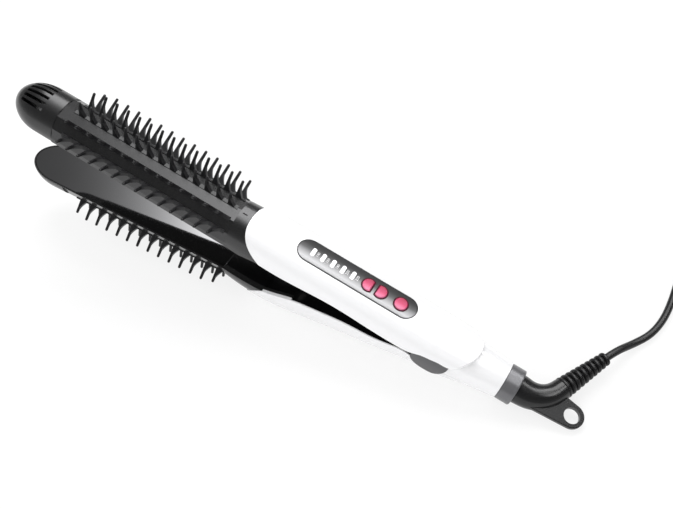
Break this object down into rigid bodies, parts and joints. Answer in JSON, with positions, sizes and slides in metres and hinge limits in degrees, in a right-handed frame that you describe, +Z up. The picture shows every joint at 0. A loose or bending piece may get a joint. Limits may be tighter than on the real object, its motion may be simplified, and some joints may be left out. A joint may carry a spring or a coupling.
{
  "type": "hair multistyler",
  "caption": "Electric hair styler: two hinged heated arms with comb teeth, a control panel with lamps and buttons, and a cord that swivels beside a hang loop.",
  "frame": {"origin": "on the table, under the middle of the styler as it lies, without its cord", "axes": "+X from the nose towards the cord end, +Y towards the far side, +Z up from the table"},
  "size_m": [0.3881, 0.1846, 0.0829],
  "materials": {
    "charcoal_gloss": "glossy, injection moulded",
    "tooth_black": "satin",
    "plate_black": "glossy ceramic coating",
    "white_gloss": "glossy, injection moulded",
    "liner_black": "glossy",
    "panel_metal": "brushed, dark at the far side",
    "lamp_white": "translucent",
    "button_pink": "glossy",
    "ring_red": "satin",
    "board_green": "solder resist",
    "switch_metal": "plain",
    "steel": "bright zinc",
    "spring_steel": "oiled",
    "heater_ceramic": "bare",
    "fuse_white": "glazed",
    "collar_metal": "brushed",
    "trim_grey": "satin",
    "swivel_black": "satin",
    "boot_rubber": "satin",
    "cord_black": "satin",
    "plug_black": "satin",
    "pin_metal": "nickel plated"
  },
  "bodies": {
    "handle": {"nose_cap": "charcoal_gloss", "barrel_shell": "charcoal_gloss", "upper_plate": "plate_black", "upper_heater": "heater_ceramic", "plate_springs": "spring_steel", "thermal_fuse": "fuse_white", "upper_shoulder": "charcoal_gloss", "upper_cover": "white_gloss", "control_panel": "panel_metal", "indicator_windows": "lamp_white", "indicator_lamps": "lamp_white", "button_surrounds": "ring_red", "circuit_board": "board_green", "tact_switches": "switch_metal", "upper_liner": "liner_black", "upper_screws": "steel", "rear_housing": "white_gloss", "collar_ring": "collar_metal", "hinge_pin": "steel", "hinge_spring": "spring_steel", "hinge_trim_near": "trim_grey", "hinge_trim_far": "trim_grey", "upper_comb_1": "tooth_black", "upper_comb_2": "tooth_black", "upper_comb_3": "tooth_black", "upper_comb_4": "tooth_black", "upper_comb_5": "tooth_black"},
    "lower_arm": {"lower_barrel": "charcoal_gloss", "lower_plate": "plate_black", "lower_heater": "heater_ceramic", "lower_shoulder": "charcoal_gloss", "lower_cover": "white_gloss", "lower_liner": "liner_black", "lower_screws": "steel", "lower_comb_1": "tooth_black", "lower_comb_2": "tooth_black", "lower_comb_3": "tooth_black", "lower_comb_4": "tooth_black"},
    "minus_cap": {"minus_button": "button_pink"},
    "plus_cap": {"plus_button": "button_pink"},
    "power_cap": {"power_button": "button_pink"},
    "cord_swivel": {"swivel_elbow": "swivel_black", "strain_relief": "boot_rubber", "cord_stretch": "cord_black", "cord_coil": "cord_black", "cord_tail": "cord_black", "cord_tie": "plug_black", "plug_body": "plug_black", "plug_pins": "pin_metal"}
  },
  "joints": [
    {"name": "arm_hinge", "type": "hinge", "parent": "handle", "child": "lower_arm", "pos_m": [0.083, 0, 0.0149], "axis": [0, 1, 0], "range_deg": [0, 8.9], "stiffness_Nm_per_rad": 0.9, "springref_deg": -28.65},
    {"name": "minus_press", "type": "slide", "parent": "handle", "child": "minus_cap", "axis": [-0.2337, 0, -0.9723], "range_m": [0, 0.0005], "stiffness_N_per_m": 400, "springref_m": -0.001},
    {"name": "plus_press", "type": "slide", "parent": "handle", "child": "plus_cap", "axis": [-0.2337, 0, -0.9723], "range_m": [0, 0.0005], "stiffness_N_per_m": 400, "springref_m": -0.001},
    {"name": "power_press", "type": "slide", "parent": "handle", "child": "power_cap", "axis": [-0.2337, 0, -0.9723], "range_m": [0, 0.0005], "stiffness_N_per_m": 400, "springref_m": -0.001},
    {"name": "cord_turn", "type": "hinge", "parent": "handle", "child": "cord_swivel", "pos_m": [0.10887, 0, 0.01126], "axis": [0.9723, 0, -0.2337], "continuous": true}
  ]
}
